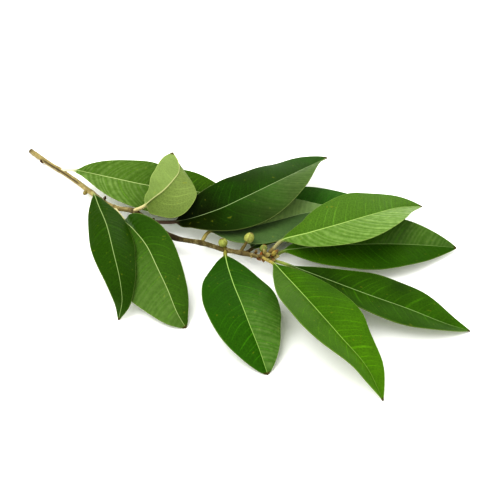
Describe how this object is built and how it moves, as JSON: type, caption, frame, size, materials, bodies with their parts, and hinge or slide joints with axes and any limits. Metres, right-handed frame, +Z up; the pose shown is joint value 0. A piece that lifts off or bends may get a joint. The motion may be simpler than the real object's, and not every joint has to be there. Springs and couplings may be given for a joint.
{
  "type": "bay leaf branch",
  "caption": "Cut branch of bay laurel lying flat: a bent woody stem with leathery pointed oval leaves on short stalks and round flower buds along it, spreading at the growing tip.",
  "frame": {"origin": "under the middle of the branch's bounding box, at the surface it lies on", "axes": "+X runs from the cut end of the stem to its growing tip, +Y across the branch, away from the leaves that hang towards the front, +Z up"},
  "size_m": [0.2231, 0.1703, 0.0251],
  "materials": {
    "stem_bark": "satin, smooth young bark, tan at the cut end and brown towards the tip",
    "leaf_upper": "waxy semi-gloss upper side, dark green, with a pale midrib and fine side veins",
    "leaf_under": "matte pale green underside with a raised pale midrib",
    "flower_bud": "satin, smooth olive yellow",
    "bud_scale": "matte, dry brown scales"
  },
  "bodies": {
    "root": {"stem": "stem_bark", "leaf_1": "leaf_upper", "leaf_2": "leaf_upper", "leaf_3": "leaf_upper", "leaf_4": "leaf_under", "leaf_5": "leaf_upper", "leaf_6": "leaf_upper", "leaf_7": "leaf_upper", "leaf_8": "leaf_upper", "leaf_9": "leaf_upper", "leaf_10": "leaf_upper", "leaf_11": "leaf_upper", "leaf_12": "leaf_upper", "side_bud_1": "bud_scale", "side_bud_2": "bud_scale", "side_bud_3": "bud_scale", "side_bud_4": "bud_scale", "flower_bud_1": "flower_bud", "flower_bud_2": "flower_bud", "flower_bud_3": "flower_bud", "tip_bud": "bud_scale"}
  },
  "joints": []
}
